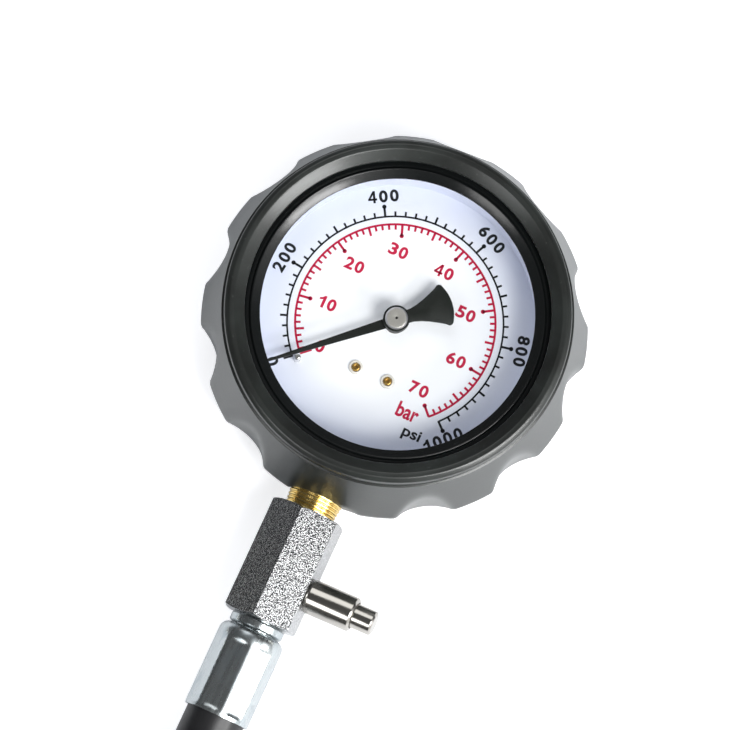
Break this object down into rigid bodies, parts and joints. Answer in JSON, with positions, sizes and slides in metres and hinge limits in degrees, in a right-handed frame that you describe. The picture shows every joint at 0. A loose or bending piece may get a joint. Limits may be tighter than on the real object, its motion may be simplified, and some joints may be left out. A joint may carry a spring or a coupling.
{
  "type": "compression tester gauge",
  "caption": "Round pressure gauge in a lobed rubber boot, with a hexagonal release-valve body below it and a short pressure hose that ends in a quick coupler.",
  "frame": {"origin": "centre of the raised panel on the back of the case, 1.6 mm above the plane that the boot lies on", "axes": "+Z out of the dial, -Y down the stem towards the hose, +X to the side of the release valve"},
  "size_m": [0.2081, 0.2969, 0.0416],
  "materials": {
    "rubber": "matte moulded rubber",
    "black_paint": "gloss black",
    "steel_case": "plain stamped steel",
    "clear_glass": "clear",
    "seal_rubber": "matte",
    "white_dial": "satin white, printed scales",
    "brass": "machined",
    "pointer_black": "satin black",
    "nickel": "polished nickel",
    "zinc": "bright zinc plate",
    "spring_steel": "bright",
    "bronze": "drawn bronze",
    "copper": "soft copper",
    "hose_black": "smooth black cover"
  },
  "bodies": {
    "gauge": {"bezel_ring": "black_paint", "boot": "rubber", "bourdon_tube": "bronze", "case_cup": "steel_case", "case_screw_1": "spring_steel", "case_screw_2": "spring_steel", "coupler_ball_1": "spring_steel", "coupler_ball_2": "spring_steel", "coupler_ball_3": "spring_steel", "coupler_ball_4": "spring_steel", "coupler_ball_5": "spring_steel", "coupler_ball_6": "spring_steel", "coupler_body": "nickel", "coupler_seal": "seal_rubber", "coupler_spring": "spring_steel", "coupler_stop_ring": "spring_steel", "coupler_tail": "nickel", "crimp_ferrule": "zinc", "dial_plate": "white_dial", "dial_screw_1": "brass", "dial_screw_2": "brass", "dial_spacer_1": "brass", "dial_spacer_2": "brass", "end_ferrule": "zinc", "hairspring": "bronze", "hairspring_stud": "brass", "hose": "hose_black", "hose_nipple": "zinc", "lens": "clear_glass", "lens_gasket": "seal_rubber", "movement_bottom_plate": "brass", "movement_pillar_1": "brass", "movement_pillar_2": "brass", "movement_pillar_3": "brass", "movement_pillar_4": "brass", "movement_screw_1": "spring_steel", "movement_screw_2": "spring_steel", "movement_top_plate": "brass", "release_barrel": "nickel", "release_spring": "spring_steel", "socket_stem": "brass", "spacer_ring": "black_paint", "stem_washer": "copper", "stop_pin": "brass", "tube_tip_block": "brass", "valve_body": "zinc"},
    "pointer_set": {"pointer": "pointer_black", "pointer_cap": "nickel", "pinion_arbor": "brass"},
    "sector_set": {"sector_gear": "brass", "sector_arbor": "spring_steel", "tail_pin": "spring_steel"},
    "link_set": {"link_bar": "brass", "tip_pin": "spring_steel"},
    "release_button": {"release_plunger": "nickel", "release_seal": "seal_rubber"},
    "sleeve": {"coupler_sleeve": "nickel"}
  },
  "joints": [
    {"name": "pointer_turn", "type": "hinge", "parent": "gauge", "child": "pointer_set", "pos_m": [0, 0, 0.0229], "axis": [0, 0, -1], "range_deg": [0, 264.6]},
    {"name": "sector_turn", "type": "hinge", "parent": "gauge", "child": "sector_set", "pos_m": [-0.00899, -0.01348, 0.0118], "axis": [0, 0, 1], "range_deg": [0, 33.2]},
    {"name": "link_swing", "type": "hinge", "parent": "sector_set", "child": "link_set", "pos_m": [-0.00636, -0.01831, 0.0104], "axis": [0, 0, 1], "range_deg": [-37, 0]},
    {"name": "release_press", "type": "slide", "parent": "gauge", "child": "release_button", "axis": [-0.9833, 0, -0.1822], "range_m": [0, 0.0025], "stiffness_N_per_m": 600, "springref_m": -0.002, "deforming": ["release_spring"]},
    {"name": "sleeve_slide", "type": "slide", "parent": "gauge", "child": "sleeve", "axis": [0, -1, 0], "range_m": [0, 0.0035], "stiffness_N_per_m": 1200, "springref_m": -0.002, "deforming": ["coupler_spring"]}
  ],
  "couplings": [
    {"joint": "sector_turn", "follows": "pointer_turn", "ratio": 0.125},
    {"joint": "link_swing", "follows": "pointer_turn", "ratio": -0.1391}
  ]
}
